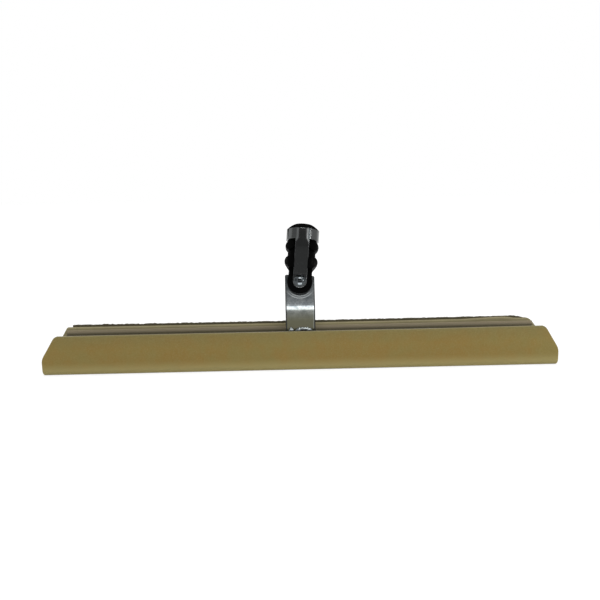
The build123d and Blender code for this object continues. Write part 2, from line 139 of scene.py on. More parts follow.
class SteelSettings(bpy.types.PropertyGroup):
    """The channel, bracket, weld, ferrule and fasteners."""

    sheet: length("Sheet", 2, "Thickness of the channel's sheet")
    strip: length("Strip", 3, "Thickness of the bracket's strip")
    zinc: colour("Zinc", "#747879", "Main colour of the bracket's worn zinc plating")
    zinc_blue: colour("Blue zinc", "#5B6063", "Bluish patches in the bracket's plating")
    # Pale zinc is the channel's plating, and is also painted on the bracket's back face as painted
    # light.
    pale_zinc: colour("Fresh zinc", "#B2B6B8", "Main colour of the channel's sheltered zinc plating")
    fresh_blue: colour("Fresh blue zinc", "#9CA2A6", "Bluish patches in the channel's plating")
    # The dark bands along the bracket's edges are painted shade, the dark that its rounded edges
    # reflect.
    shaded: colour("Sheared edge", "#3A3C3C", "Dull edges of the bracket, where the strip was sheared")
    # The olive tint low on the bracket's leg is a painted reflection of the tan felt in front of it.
    felt_reflection: colour("Dried finish", "#5C5B4B", "Film of dried floor finish low on the bracket")
    # The bright rings below the pivot are rings worn by the socket, painted bright as highlights; the
    # same colour paints a highlight along the bracket's right edge.
    brightened: colour("Rubbed ring", "#D5D9DA", "Bright rings that the socket has rubbed round the pivot")
    inner_rub: length("Inner ring", 16.5, "Radius of the inner rubbed ring")
    outer_rub: length("Outer ring", 18.9, "Radius of the outer rubbed ring")
    edge_round: length("Edge rounding", 0.4, "How far light rolls round the edges of steel and moulding")
    ferrule: colour("Ferrule", "#5E6060", "Colour of the drawn ferrule steel")
    bright: colour("Bright zinc", "#4B4F51", "Colour of the bright plated fasteners")
    weld: colour("Weld", "#6C706F", "Colour of the weld metal")
    # The weld's dark colour is heat tint in patches, and painted shade in the hollow under its arched
    # crest.
    weld_tint_and_shade: colour("Weld tint", "#3A3C40", "Dark heat tint in the hollows of the weld")
    ripple: length("Weld ripple", 3.4, "Spacing of the ripples along the weld")


class MouldingSettings(bpy.types.PropertyGroup):
    """The moulded socket and the ring in the lock nut."""

    black: colour("Black", "#050505", "Colour of the moulded socket")
    # This colour marks scuffs, and on the socket's lower ribs it is also a painted highlight.
    lighter: colour("Scuffed", "#232221", "Colour of the socket where it is scuffed")
    nylon: colour("Nylon", "#2F4C82", "Colour of the lock nut's nylon ring")
    nylon_pale: colour("Pale nylon", "#4B6698", "Colour of the nylon ring where it is scuffed")


class StageSettings(bpy.types.PropertyGroup):
    """The floor, lights and camera."""

    white: colour("Floor", "#F4F4F4", "Colour of the floor")
    glow: amount("Floor white", 0.75, "How white the floor is to the camera and in reflections")
    room: amount("Room light", 0.36, "Strength of the even light of the white room")
    key: amount("Key light", 2.0, "Strength of the broad key light")
    focal: FloatProperty(name="Focal length", description="Focal length on a 36 mm wide sensor",
                         default=39.14, unit="CAMERA")


def feed(node, inputs):
    """Fills a node's inputs, by name or in the order that the node shows them, with values, sockets or
    other nodes, whose first output in use is taken."""
    if isinstance(inputs, dict):
        pairs = [(node.inputs[key], value) for key, value in inputs.items()]
    else:
        pairs = zip([socket for socket in node.inputs if socket.enabled], inputs)
    for socket, value in pairs:
        if isinstance(value, bpy.types.Node):
            value = next(output for output in value.outputs if output.enabled)
        if isinstance(value, bpy.types.NodeSocket):
            node.id_data.links.new(value, socket)
        else:
            socket.default_value = value


def add_node(tree, kind, inputs=(), **settings):
    """Adds a shader node, makes its settings and fills its inputs with values or links."""
    made = tree.nodes.new(f"ShaderNode{kind}")
    for key, value in settings.items():
        setattr(made, key, value)
    feed(made, inputs)
    return made


def set_shader(material, **sockets):
    """Fills sockets of a material's shader with values or links. Gives the material."""
    shader = material.node_tree.nodes["Principled BSDF"]
    feed(shader, {key.replace("_", " "): value for key, value in sockets.items()})
    return material


def start_material(name, **sockets):
    """Makes a material and sets its shader's plain sockets. Gives the material, what adds a node to its
    tree, and the coordinates of the piece that wears it."""
    material = bpy.data.materials.new(name)
    material.use_nodes = True
    set_shader(material, **sockets)
    add = partial(add_node, material.node_tree)
    return material, add, add("TexCoord").outputs["Object"]


def per_mm(size):
    """Texture scale that gives features of about this many millimetres."""
    return 1 / (size * MM)


def needled_felt(name, main, patches, fibres, foot=None, rim=None, top=0.0):
    """Needled polyester felt: fibres punched into a dense mat. It looks matte and softly mottled, with
    a short nap that catches light at the edges. Foot is the colour painted near the floor, paler as
    painted light bounced up from the floor, and rim the colour that darkens the felt along its top."""
    material, add, where = start_material(name, Roughness=0.95, Specular_IOR_Level=0.1, Sheen_Weight=0.1,
                                          Sheen_Roughness=0.6, Sheen_Tint=fibres)
    # Patches where the mat is thicker or thinner, from one to a few centimetres wide.
    broad = add("TexNoise", {"Vector": where, "Scale": per_mm(60), "Detail": 2.0})
    local = add("TexNoise", {"Vector": where, "Scale": per_mm(14), "Detail": 3.0})
    both = add("Math", [broad, local], operation="ADD")
    spread = add("MapRange", [both, 0.8, 1.2])
    mottled = add("Mix", [spread, main, patches], data_type="RGBA")
    if foot:
        # The felt is painted paler near the floor: painted light bounced up from the floor.
        fade_height = 17 * MM
        top_dark_height = top - 1 * MM
        height = add("SeparateXYZ", [where]).outputs["Z"]
        low = add("MapRange", [height, 0.0, fade_height, 1.0, 0.0], interpolation_type="SMOOTHSTEP")
        mottled = add("Mix", [low, mottled, foot], data_type="RGBA")
        # It is darker a little from far below the top, and much more along the very edge.
        for reach, share in ((17 * MM, 0.45), (3.5 * MM, 0.75)):
            upper = add("MapRange", [height, top - reach, top_dark_height, 0.0, share])
            mottled = add("Mix", [upper, mottled, rim], data_type="RGBA")
    # Fibres are about 0.03 mm wide, too fine to show, so clumps of 1.4 mm stand for them.
    clumps = add("TexNoise", {"Vector": where, "Scale": per_mm(1.4), "Detail": 4.0, "Roughness": 0.65,
                              "Distortion": 0.8})
    tips = add("MapRange", [clumps, 0.42, 0.72, 0.0, 0.45])
    napped = add("Mix", [tips, mottled, fibres], data_type="RGBA")
    bump = add("Bump", {"Height": clumps, "Strength": 0.25, "Distance": 0.5 * MM})
    return set_shader(material, Base_Color=napped, Normal=bump)


def open_cell_foam(name, main):
    """Polyurethane foam: an open cell foam cut from a block. It looks matte and pitted by its cells."""
    material, add, where = start_material(name, Roughness=0.9, Specular_IOR_Level=0.2)
    cells = add("TexVoronoi", {"Vector": where, "Scale": per_mm(1.2)})
    # The pits of the cells are painted darker: painted shade in the hollows.
    pit_shade = add("MapRange", [cells, 0.1, 0.6, 0.62, 1.0])
    pitted = add("Mix", [1.0, main, pit_shade], data_type="RGBA", blend_type="MULTIPLY")
    bump = add("Bump", {"Height": cells, "Strength": 0.5, "Distance": 0.6 * MM})
    return set_shader(material, Base_Color=pitted, Normal=bump)


def woven_hook_tape(name, plain, hooks, middle, field):
    """Woven nylon hook tape: rows of cut loops between two plain borders. The borders look pale and
    flat, and the rows look dark, dull and finely dotted. Middle and field are the rows' height and half
    width."""
    material, add, where = start_material(name, Roughness=0.8, Specular_IOR_Level=0.2)
    height = add("SeparateXYZ", [where]).outputs["Z"]
    away = add("Math", [height, middle], operation="SUBTRACT")
    off = add("Math", [away], operation="ABSOLUTE")
    # The outer rows of hooks fade into the plain border over a few millimetres.
    fade_rows = 3 * MM
    border = add("MapRange", [off, field - fade_rows, field])
    # Hooks stand about 1.5 mm apart along the tape and across it.
    rows = add("TexVoronoi", {"Vector": where, "Scale": per_mm(1.5), "Randomness": 0.2})
    dots = add("MapRange", [rows, 0.15, 0.5, 0.3, 0.0])
    dotted = add("Mix", [dots, hooks, plain], data_type="RGBA")
    woven = add("Mix", [border, dotted, plain], data_type="RGBA")
    bump = add("Bump", {"Height": rows, "Strength": 0.6, "Distance": 0.6 * MM})
    return set_shader(material, Base_Color=woven, Normal=bump)


def zinc_plated_strip(name, main, patches, edge):
    """Zinc-plated mild steel: rolled, brushed and plated. It looks grey and satin, with fine lines
    across the strip, faint bluish patches from the passivation and light along its edges."""
    material, add, where = start_material(name, Metallic=1.0)
    patch = add("TexNoise", {"Vector": where, "Scale": per_mm(7), "Detail": 3.0, "Distortion": 0.6})
    spread = add("MapRange", [patch, 0.38, 0.62])
    tinted = add("Mix", [spread, main, patches], data_type="RGBA")
    # Brush lines are about 0.1 mm wide, too fine to show, so lines of 0.7 mm stand for them.
    stretched = add("VectorMath", [where, (1 / 60, 1.0, 1.0)], operation="MULTIPLY")
    lines = add("TexNoise", {"Vector": stretched, "Scale": per_mm(0.7), "Detail": 1.0})
    satin = add("MapRange", [lines, 0.3, 0.7, 0.16, 0.25])
    rolled = add("Bevel", {"Radius": edge}, samples=4)
    bump = add("Bump", {"Height": lines, "Strength": 0.08, "Distance": 0.15 * MM, "Normal": rolled})
    return set_shader(material, Base_Color=tinted, Roughness=satin, Normal=bump)


def mark_bracket(material, steel, half_width, reflection_low, reflection_high):
    """Adds light and shade painted on the plated bracket: an olive reflection of the felt low on its
    leg, a paler back face, dark shade along its edges, a highlight along its right edge, and bright
    rings below the pivot, worn by the socket and painted bright as highlights."""
    tree = material.node_tree
    add = partial(add_node, tree)
    shown = tree.nodes["Principled BSDF"].inputs["Base Color"].links[0].from_node
    axes = add("TexCoord").outputs
    place = add("SeparateXYZ", [axes["Object"]]).outputs
    facing = add("SeparateXYZ", [axes["Normal"]]).outputs
    # The back face is painted paler: painted light.
    back = add("MapRange", [facing["Y"], 0.2, 0.6, 0.0, 0.85])
    across = add("Math", [place["X"]], operation="ABSOLUTE")
    # The leg is painted olive low down: a painted reflection of the felt.
    felt_reflection = add("MapRange", [place["Z"], reflection_low, reflection_high, 1.0, 0.0])
    # Dark bands are painted along both edges: painted shade.
    edge = add("MapRange", [across, half_width - 1.9 * MM, half_width - 1.1 * MM, 0.0, 0.9])
    # A bright line is painted along the right edge: a painted highlight, where light from the side
    # catches it.
    edge_highlight = add("MapRange", [place["X"], half_width - 2.9 * MM, half_width - 2.3 * MM, 0.0, 0.12])
    marks = [(felt_reflection, steel.felt_reflection), (back, steel.pale_zinc), (edge_highlight, steel.brightened), (edge, steel.shaded)]
    # Bright rings below the pivot, worn by the socket and painted bright as highlights.
    from_pivot = add("VectorMath", [axes["Object"], PIVOT], operation="DISTANCE")
    under = add("MapRange", [place["Z"], PIVOT.z - 15 * MM, PIVOT.z - 9 * MM, 0.45, 0.0])
    for radius in (steel.inner_rub, steel.outer_rub):
        off = add("Math", [from_pivot, radius], operation="SUBTRACT")
        near = add("Math", [off], operation="ABSOLUTE")
        ring = add("MapRange", [near, 0.3 * MM, 0.7 * MM, 1.0, 0.0])
        arc = add("Math", [ring, under], operation="MULTIPLY")
        marks.append((arc, steel.brightened))
    for mask, tone in marks:
        shown = add("Mix", [mask, shown, tone], data_type="RGBA")
    set_shader(material, Base_Color=shown)


def drawn_steel(name, main, edge):
    """Drawn steel sheet: pressed and drawn into a ferrule, then plated. It looks smooth and dark between
    sharp streaks, with faint draw lines up its length."""
    material, add, where = start_material(name, Base_Color=main, Metallic=1.0)
    # Draw lines are about 0.1 mm wide, too fine to show, so lines of 0.9 mm stand for them.
    stretched = add("VectorMath", [where, (1.0, 1.0, 1 / 30)], operation="MULTIPLY")
    lines = add("TexNoise", {"Vector": stretched, "Scale": per_mm(0.9), "Detail": 3.0})
    smudges = add("TexNoise", {"Vector": where, "Scale": per_mm(9), "Detail": 3.0})
    both = add("Math", [lines, smudges], operation="ADD")
    sheen = add("MapRange", [both, 0.75, 1.25, 0.1, 0.17])
    rolled = add("Bevel", {"Radius": edge}, samples=4)
    bump = add("Bump", {"Height": lines, "Strength": 0.06, "Distance": 0.1 * MM, "Normal": rolled})
    return set_shader(material, Roughness=sheen, Normal=bump)


def bright_zinc(name, main):
    """Bright zinc on turned steel: cold headed, tumbled and plated. It looks shiny, with small dents and
    a slightly uneven shine."""
    material, add, where = start_material(name, Base_Color=main, Metallic=1.0)
    dents = add("TexNoise", {"Vector": where, "Scale": per_mm(1.8), "Detail": 2.0})
    shine = add("MapRange", [dents, 0.3, 0.7, 0.06, 0.14])
    bump = add("Bump", {"Height": dents, "Strength": 0.12, "Distance": 0.15 * MM})
    return set_shader(material, Roughness=shine, Normal=bump)


def weld_metal(name, main, tint, hollow):
    """Weld metal: steel laid molten in overlapping ripples. It looks bright on its crests, with dark
    heat tint in patches, and painted shade in its largest hollow, at the place called hollow."""
    material, add, where = start_material(name, Metallic=1.0)
    drops = add("TexNoise", {"Vector": where, "Scale": per_mm(2.2), "Detail": 3.0})
    spread = add("MapRange", [drops, 0.46, 0.6, 0.0, 0.8])
    # The hollow under the arched crest is painted dark, painted shade; it reaches 5.4 mm to each side
    # and 2.7 mm up and down.
    away = add("VectorMath", [where, hollow], operation="SUBTRACT")
    shares = add("VectorMath", [away, (per_mm(5.4), 0.0, per_mm(2.7))], operation="MULTIPLY")
    far = add("VectorMath", [shares], operation="LENGTH")
    sunk = add("MapRange", [far, 0.75, 1.0, 1.0, 0.0])
    dark = add("Math", [spread, sunk], operation="MAXIMUM")
    tinted = add("Mix", [dark, main, tint], data_type="RGBA")
    shine = add("MapRange", [drops, 0.3, 0.7, 0.14, 0.34])
    bump = add("Bump", {"Height": drops, "Strength": 0.3, "Distance": 0.4 * MM})
    return set_shader(material, Base_Color=tinted, Roughness=shine, Normal=bump)


def moulded_plastic(name, main, lighter, edge, grain, proud, below):
    """Glass-filled nylon: injection moulded in a lightly spark-eroded mould. It looks dark with a soft
    gloss, a fine grain, light along its edges, and dull scuffs on what stands proud to each side and
    lies below a height, which on the socket's lower ribs also stand for painted highlights. Grain is
    in millimetres."""
    material, add, where = start_material(name, IOR=1.53, Specular_IOR_Level=0.008)
    scuffs = add("TexNoise", {"Vector": where, "Scale": per_mm(6), "Detail": 5.0, "Roughness": 0.7})
    spread = add("MapRange", [scuffs, 0.42, 0.64])
    place = add("SeparateXYZ", [where]).outputs
    across = add("Math", [place["X"]], operation="ABSOLUTE")
    outer = add("MapRange", [across, proud, proud + 2 * MM])
    low = add("MapRange", [place["Z"], below - 3 * MM, below, 1.0, 0.0])
    exposed = add("Math", [outer, low], operation="MULTIPLY")
    brightened = add("Math", [spread, exposed], operation="MULTIPLY")
    worn = add("Mix", [brightened, main, lighter], data_type="RGBA")
    gloss = add("MapRange", [scuffs, 0.35, 0.7, 0.42, 0.56])
    # The real grain is under 0.1 mm, too fine to show, so a coarser one stands for it.
    spark = add("TexNoise", {"Vector": where, "Scale": per_mm(grain), "Detail": 2.0})
    rolled = add("Bevel", {"Radius": edge}, samples=4)
    bump = add("Bump", {"Height": spark, "Strength": 0.1, "Distance": 0.15 * MM, "Normal": rolled})
    return set_shader(material, Base_Color=worn, Roughness=gloss, Normal=bump)


def add_object(name, data):
    """Puts a new object into the scene."""
    made = bpy.data.objects.new(name, data)
    bpy.context.scene.collection.objects.link(made)
    return made


def mesh_piece(name, mesh_data, body, slot, *materials):
    """Turns a bmesh into a smooth piece that rides a body."""
    bmesh.ops.recalc_face_normals(mesh_data, faces=mesh_data.faces)
    mesh = bpy.data.meshes.new(name)
    mesh_data.to_mesh(mesh)
    mesh_data.free()
    mesh.shade_smooth()
    for material in materials:
        mesh.materials.append(material)
    piece = add_object(name, mesh)
    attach(piece, body)
    return piece


def finish_nodes(material, *names):
    """Gives packed nodes their finish."""
    for name in names:
        frame["nodes"][name].material_slots[0].material = material


def steps(start, stop, pitch):
    """Even steps from start to stop, about a pitch apart, both ends included."""
    count = max(1, round(abs(stop - start) / pitch))
    return [start + (stop - start) * i / count for i in range(count + 1)]


def rounding_steps(edge):
    """Places from a cut edge inwards, close together where its rounding turns fastest."""
    return [edge * (1 - math.cos(math.pi / 2 * i / 4)) for i in range(4)]


def edge_steps(size, edge, pitch):
    """Places along a size, close together within an edge's rounding at both ends."""
    near = rounding_steps(edge)
    return near + steps(edge, size - edge, pitch) + [size - place for place in reversed(near)]


def ramp(value, low, high):
    """Share from 0 at low to 1 at high."""
    return max(0.0, min(1.0, (value - low) / (high - low)))


def drift(place, size, seed):
    """Slow wander between -1 and 1, with features of about this size."""
    return noise.noise(Vector(place) / size + Vector((seed, 0, 0)))


def band(mesh_data, first, second, number=0):
    """Joins two lines of points by a band of faces, which take the material of a number."""
    for spots in zip(first, second, second[1:], first[1:]):
        mesh_data.faces.new(spots).material_index = number


def quilt(rows, inside=0):
    """Joins rows of paired points, on the outer and the inner face of a mat, into one closed bmesh. The
    inner face and the cut edges take the material of the number given as inside."""
    mat = bmesh.new()
    outer, inner = [[[mat.verts.new(pair[face]) for pair in row] for row in rows] for face in (0, 1)]
    for grid, number in ((outer, 0), (inner, inside)):
        for first, second in zip(grid, grid[1:]):
            band(mat, first, second, number)
    for end in (0, -1):
        band(mat, outer[end], inner[end], inside)
        band(mat, [row[end] for row in outer], [row[end] for row in inner], inside)
    return mat


def rounded_half(distance, half, edge):
    """Half the thickness of a mat at a distance from its cut edge."""
    lack = 1 - min(distance, edge) / edge
    return half - edge + edge * math.sqrt(max(0.0, 1 - lack * lack))


class APPLICATOR_OT_felt_pad(bpy.types.Operator):
    """Builds the felt pad as one thick mat folded round the channel"""

    bl_idname = "applicator.felt_pad"
    bl_label = "Felt pad"

    def end_at(self, felt, height, corner):
        """Half the pad's length at a height: square below, slanted above, with rounded corners."""
        slope = felt.set_in / (self.top - felt.square_height)
        lean = math.atan(slope)
        tangent = corner * math.tan((math.pi / 2 - lean) / 2)
        if height > self.top - tangent * math.cos(lean):
            up = height - (self.top - corner)
            middle = self.half_length - felt.set_in - tangent
            return middle + math.sqrt(max(0.0, corner ** 2 - up ** 2))
        knuckle_start = felt.square_height - felt.knuckle * math.tan(lean / 2)
        up = height - knuckle_start
        if up < 0:
            return self.half_length
        if up < felt.knuckle * math.sin(lean):
            return self.half_length - felt.knuckle + math.sqrt(felt.knuckle ** 2 - up ** 2)
        return self.half_length - slope * (height - felt.square_height)

    def fold(self, felt, along):
        """Middle of the felt at a length along the fold, from the front flap's top: its side, y, z and
        the way out."""
        radius = felt.inner_fold + felt.thickness / 2
        side = -1
        if along > self.fold_length / 2:
            along = self.fold_length - along
            side = 1
        if along < self.flap:
            return side, side * (self.flat + radius), self.top - along, (side, 0.0)
        angle = (along - self.flap) / radius
        if angle < math.pi / 2:
            out = (side * math.cos(angle), -math.sin(angle))
            turn_height = felt.inner_fold + felt.thickness
            return side, side * self.flat + radius * out[0], turn_height + radius * out[1], out
        y = side * (self.flat - (angle - math.pi / 2) * radius)
        return side, y, felt.thickness / 2, (0.0, -1.0)

    def places_along(self, felt, turn):
        """Places along the fold: close together at the cut edges and round the folds."""
        half = rounding_steps(felt.edge_round) + steps(felt.edge_round, self.flap, pitch=2.4 * MM)
        half += steps(self.flap, self.flap + turn, pitch=0.8 * MM)[1:]
        half += steps(self.flap + turn, self.fold_length / 2, pitch=3 * MM)[1:]
        return half + [self.fold_length - place for place in reversed(half[:-1])]

    def rise(self, felt, side, x):
        """How far a flap's top edge stands above its even height. The front one has settled, least at
        its right end, and the rear one sags in the middle and stands up near its right end. Places are
        shares of half the pad's length."""
        share = x / self.half_length
        if side < 0:
            propped = 0.7 * ramp(share, 0.5, 0.9)
            return -felt.settle * (1 - propped)
        climb = ramp(share, 0.66, 0.8)
        fall = ramp(share, 0.84, 0.88)
        return felt.sag * (share * share - 1) + felt.hump * climb * (1 - fall)

    def execute(self, context):
        felt = context.scene.applicator_felt
        low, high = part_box("applicator_pad")
        self.top = high.z
        self.half_length = high.x
        self.flat = -low.y - felt.thickness - felt.inner_fold
        self.flap = self.top - felt.inner_fold - felt.thickness
        turn = (felt.inner_fold + felt.thickness / 2) * math.pi / 2
        self.fold_length = 2 * (self.flap + turn + self.flat)
        stations = edge_steps(2 * self.half_length, felt.edge_round, pitch=4.5 * MM)
        fade_height = 20 * MM
        wave_size = 70 * MM
        nap_size = 9 * MM
        rows = []
        for along in self.places_along(felt, turn):
            side, y, z, out = self.fold(felt, along)
            # The felt lies flat at the floor, and is free to wander higher up.
            free = ramp(z, 4 * MM, 40 * MM)
            free = free * free * (3 - 2 * free)
            left_end = self.end_at(felt, z, felt.front_corner if side < 0 else felt.rear_corner)
            right_end = left_end
            if side > 0:
                worn = felt.worn_corner * ramp(z, self.top - fade_height, self.top) ** 2
                right_end = self.end_at(felt, z, felt.front_corner) - worn
            row = []
            for station in stations:
                share = station / self.half_length - 1
                x = share * (right_end if share > 0 else left_end)
                gap = self.half_length - abs(station - self.half_length)
                half = rounded_half(min(gap, along, self.fold_length - along), felt.thickness / 2,
                                    felt.edge_round)
                rise = free * free * self.rise(felt, side, x)
                wander = felt.wave * free * (0.5 + drift((x, y, z), wave_size, seed=3.1))
                nap = felt.nap * free * (1 + drift((x, y, z), nap_size, seed=8.7))
                row.append([(x, y + out[0] * (way * half + bulge), z + out[1] * way * half + rise)
                            for way, bulge in ((1, wander + nap), (-1, wander))])
            rows.append(row)
        outside = needled_felt("needled polyester felt", felt.tan, felt.brown, felt.pale, felt.foot,
                               felt.rim, self.top)
        inside = needled_felt("needled felt inner face", felt.inside, felt.inside_dull, felt.inside)
        piece = mesh_piece("felt_pad", quilt(rows, 1), "head", "tan_felt", outside, inside)
        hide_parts("applicator_pad")
        return {"FINISHED"}


class APPLICATOR_OT_edge_strip(bpy.types.Operator):
    """Builds the dark strip behind the rear flap, which stands in for the shadow along its top, with its
    ragged upper edge and loose fibres
    """

    bl_idname = "applicator.edge_strip"
    bl_label = "Edge strip"

    def execute(self, context):
        trim = context.scene.applicator_trim
        low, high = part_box("rear_edge_strip")
        thickness = high.y - low.y
        middle = (high.y + low.y) / 2
        size = high.x - low.x
        height = high.z - low.z
        edge = 0.4 * thickness
        tuft = 0.3 * MM
        rows = []
        for along in edge_steps(height, edge, pitch=2.5 * MM):
            near_top = (along / height) ** 3
            row = []
            for station in edge_steps(size, edge, pitch=1.5 * MM):
                x = low.x + station
                z = low.z + along + near_top * self.top_at(trim, x, high.x)
                gap = min(station, size - station, along, height - along)
                half = rounded_half(gap, thickness / 2, edge)
                proud = tuft * drift((x, 0, along), 4 * MM, seed=2.2)
                row.append([(x, middle + half + proud, z), (x, middle - half, z)])
            rows.append(row)
        mat = quilt(rows)
        spread = 0.35 * thickness
        rooted = high.z - 0.7 * MM
        for station in steps(edge, size - edge, pitch=1.1 * MM):
            x = low.x + station
            y = middle + spread * drift((x, 0, 0), 0.7 * MM, seed=4.4)
            root = Vector((x, y, rooted + self.top_at(trim, x, high.x)))
            share = 0.6 + 0.8 * abs(drift((x, 1, 0), 1.3 * MM, seed=9.1))
            self.add_fibre(mat, root, trim.fibre * share)
        # The strip's dark felt stands in for the shadow along the rear flap's top: painted shadow.
        material = needled_felt("shadowed needled felt", trim.dark, trim.dark, trim.dark_pale)
        piece = mesh_piece("edge_strip", mat, "head", "dark_felt", material)
        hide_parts("rear_edge_strip")
        return {"FINISHED"}

    def top_at(self, trim, x, end):
        """How far the strip's cut edge stands from its full height at x. It is notched at the left and
        sinks behind the flap towards the right end."""
        right_sink = 3 * MM * ramp(x, end * 0.95, end * 0.99)
        left_sink = 1.4 * MM * ramp(-x, end - 3 * MM, end)
        notched = 1 + 0.5 * ramp(-x, 60 * MM, 160 * MM)
        waves = 0.6 * drift((x, 0, 0), 14 * MM, seed=1.7)
        tufts = 0.7 * drift((x, 0, 0), 3.5 * MM, seed=6.2)
        sag = trim.sag * (1 - (x / end) ** 2)
        return trim.ragged * (waves + tufts) * notched - trim.lowered - sag - (right_sink + left_sink)

    def add_fibre(self, mat, root, size):
        """Adds one loose fibre, a thin bent spike of three sides."""
        upright = 1.1
        lean = Vector((drift(root, 0.9 * MM, seed=3.3), drift(root, 0.8 * MM, seed=7.7), upright))
        lean.normalize()
        bend = Vector((drift(root, 0.6 * MM, seed=5.9), 0.3 * drift(root, 0.5 * MM, seed=2.9), 0.0))
        turns = [2 * math.pi * i / 3 for i in range(3)]
        spots = [Vector((math.cos(turn), math.sin(turn), 0)) for turn in turns]
        root_width = 0.16 * MM
        taper = 0.6
        rings = []
        for share in (0.0, 0.5):
            centre = root + lean * size * share + bend * size * share * share
            width = root_width * (1 - taper * share)
            rings.append([mat.verts.new(centre + width * spot) for spot in spots])
        tip = mat.verts.new(root + lean * size + bend * size)
        mat.faces.new(rings[0])
        low_ring, high_ring = [ring + ring[:1] for ring in rings]
        band(mat, low_ring, high_ring)
        for pair in zip(high_ring, high_ring[1:]):
            mat.faces.new((*pair, tip))


class APPLICATOR_OT_soft_lining(bpy.types.Operator):
    """Builds the foam under the channel and the hook tapes beside it"""

    bl_idname = "applicator.soft_lining"
    bl_label = "Foam and hook tapes"

    def slab(self, node, edge, pitch, dented):
        """A mat that fills a node's box, with rounded edges and a slightly uneven face."""
        low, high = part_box(node)
        size = high - low
        # Its length is along X, so its thickness and its width are along Y and Z.
        flat_axis = min(range(3), key=lambda axis: size[axis])
        width_axis = 3 - flat_axis
        rows = []
        for along in edge_steps(size[width_axis], edge, pitch):
            row = []
            for station in edge_steps(size.x, edge, pitch):
                gap = min(station, size.x - station, along, size[width_axis] - along)
                half = rounded_half(gap, size[flat_axis] / 2, edge)
                point = Vector((low.x + station, 0.0, 0.0))
                point[width_axis] = low[width_axis] + along
                dent = dented * (0.5 + 0.5 * drift(point, 12 * MM, seed=4.0))
                pair = (point, point.copy())
                for spot, way in zip(pair, (1, -1)):
                    spot[flat_axis] = (low[flat_axis] + high[flat_axis]) / 2 + way * (half - dent)
                row.append(pair)
            rows.append(row)
        return quilt(rows)

    def execute(self, context):
        trim = context.scene.applicator_trim
        foam = open_cell_foam("open cell polyurethane foam", trim.foam)
        block = self.slab("sole_cushion", edge=1.5 * MM, pitch=6 * MM, dented=0.15 * MM)
        cushion = mesh_piece("foam_cushion", block, "head", "cushion_foam", foam)
        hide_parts("sole_cushion")
        low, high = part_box("front_hook_tape")
        width = high.z - low.z
        hooks = woven_hook_tape("woven nylon hook tape", trim.tape, trim.hooks, (low.z + high.z) / 2,
                                width / 2 - trim.border)
        for node, wall in (("front_hook_tape", "holder_front_wall"),
                           ("rear_hook_tape", "holder_rear_wall")):
            ribbon = self.slab(node, edge=0.5 * MM, pitch=3 * MM, dented=0.05 * MM)
            tape = mesh_piece(f"{node}_ribbon", ribbon, "head", "hook_tape", hooks)
            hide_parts(node)
        return {"FINISHED"}


class APPLICATOR_OT_holder(bpy.types.Operator):
    """Finishes the channel and the bracket, and lays the weld between them"""

    bl_idname = "applicator.holder"
    bl_label = "Channel, bracket and weld"

    def bead(self, metal, start, stop, corner, arms, ripple, hollow=0.0):
        """Lays one bead along X in the corner between two faces, with ripples and an arched crest. Its
        middle may be sunk in under the crest by a hollow, a share of its reach."""
        side, up = arms
        # Shares of the bead's length and reach.
        hollow_span = 0.55
        plain = 0.92
        rippled = 0.1
        lumpy = 0.15
        pitted = 0.12
        thinnest = 0.12
        fullest = 1.08
        turns = [math.pi / 2 * i / 8 for i in range(9)]
        loops = []
        for x in steps(start, stop, pitch=0.4 * MM):
            along = 2 * (x - start) / (stop - start) - 1
            ends = max(0.0, 1 - abs(along) ** 3)
            sunk = hollow * max(0.0, 1 - (along / hollow_span) ** 2)
            crest = plain + rippled * abs(math.sin(math.pi * x / ripple))
            crest += lumpy * drift((x, 0, 0), 2.6 * MM, seed=6.6)
            reach = max(thinnest, min(fullest, math.sqrt(ends) * crest))
            root = corner + Vector((x, 0, 0))
            loop = []
            for turn in turns:
                bulge = reach * (1 + pitted * drift((x, turn * MM, 0), 1.1 * MM, seed=1.2))
                bulge *= 1 - sunk * math.cos(turn) ** 2
                spot = side * math.cos(turn) * bulge + up * math.sin(turn) * bulge
                loop.append(metal.verts.new(root + spot))
            loop.append(metal.verts.new(root))
            loops.append(loop)
        for first, second in zip(loops, loops[1:]):
            band(metal, first + first[:1], second + second[:1])
        metal.faces.new(loops[0])
        metal.faces.new(loops[-1])

    def execute(self, context):
        steel = context.scene.applicator_steel
        folded = zinc_plated_strip("zinc-plated folded steel", steel.pale_zinc, steel.fresh_blue,
                                   steel.edge_round)
        finish_nodes(folded, "holder_floor", "holder_front_wall", "holder_rear_wall")
        bracket_low, bracket_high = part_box("handle_bracket")
        bent = zinc_plated_strip("zinc-plated bent strip", steel.zinc, steel.zinc_blue,
                                 steel.edge_round)
        mark_bracket(bent, steel, bracket_high.x, reflection_low=58 * MM, reflection_high=76 * MM)
        finish_nodes(bent, "handle_bracket")
        low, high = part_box("bracket_weld")
        wall_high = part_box("holder_front_wall")[1]
        metal = bmesh.new()
        reach = bracket_low.y - low.y
        crest = (Vector((0, -reach, 0)), Vector((0, 0, high.z - wall_high.z)))
        corner = Vector((0, bracket_low.y, wall_high.z))
        # The bead in front was laid in a short run and a long one, which arches over a hollow.
        short_stop = low.x + 6.5 * MM
        long_start = low.x + 7.5 * MM
        self.bead(metal, low.x, short_stop, corner, crest, steel.ripple)
        self.bead(metal, long_start, high.x, corner, crest, steel.ripple, hollow=0.5)
        hollow = corner + Vector(((long_start + high.x) / 2, -reach, 0))
        back = wall_high.y + steel.strip
        floor_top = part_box("holder_floor")[0].z + steel.sheet
        fillet = high.y - back
        self.bead(metal, low.x, high.x, Vector((0, back, floor_top)),
                  (Vector((0, fillet, 0)), Vector((0, 0, fillet))), steel.ripple)
        weld = mesh_piece("weld_beads", metal, "head", "weld_steel",
                          weld_metal("arc weld metal", steel.weld, steel.weld_tint_and_shade, hollow))
        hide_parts("bracket_weld")
        return {"FINISHED"}


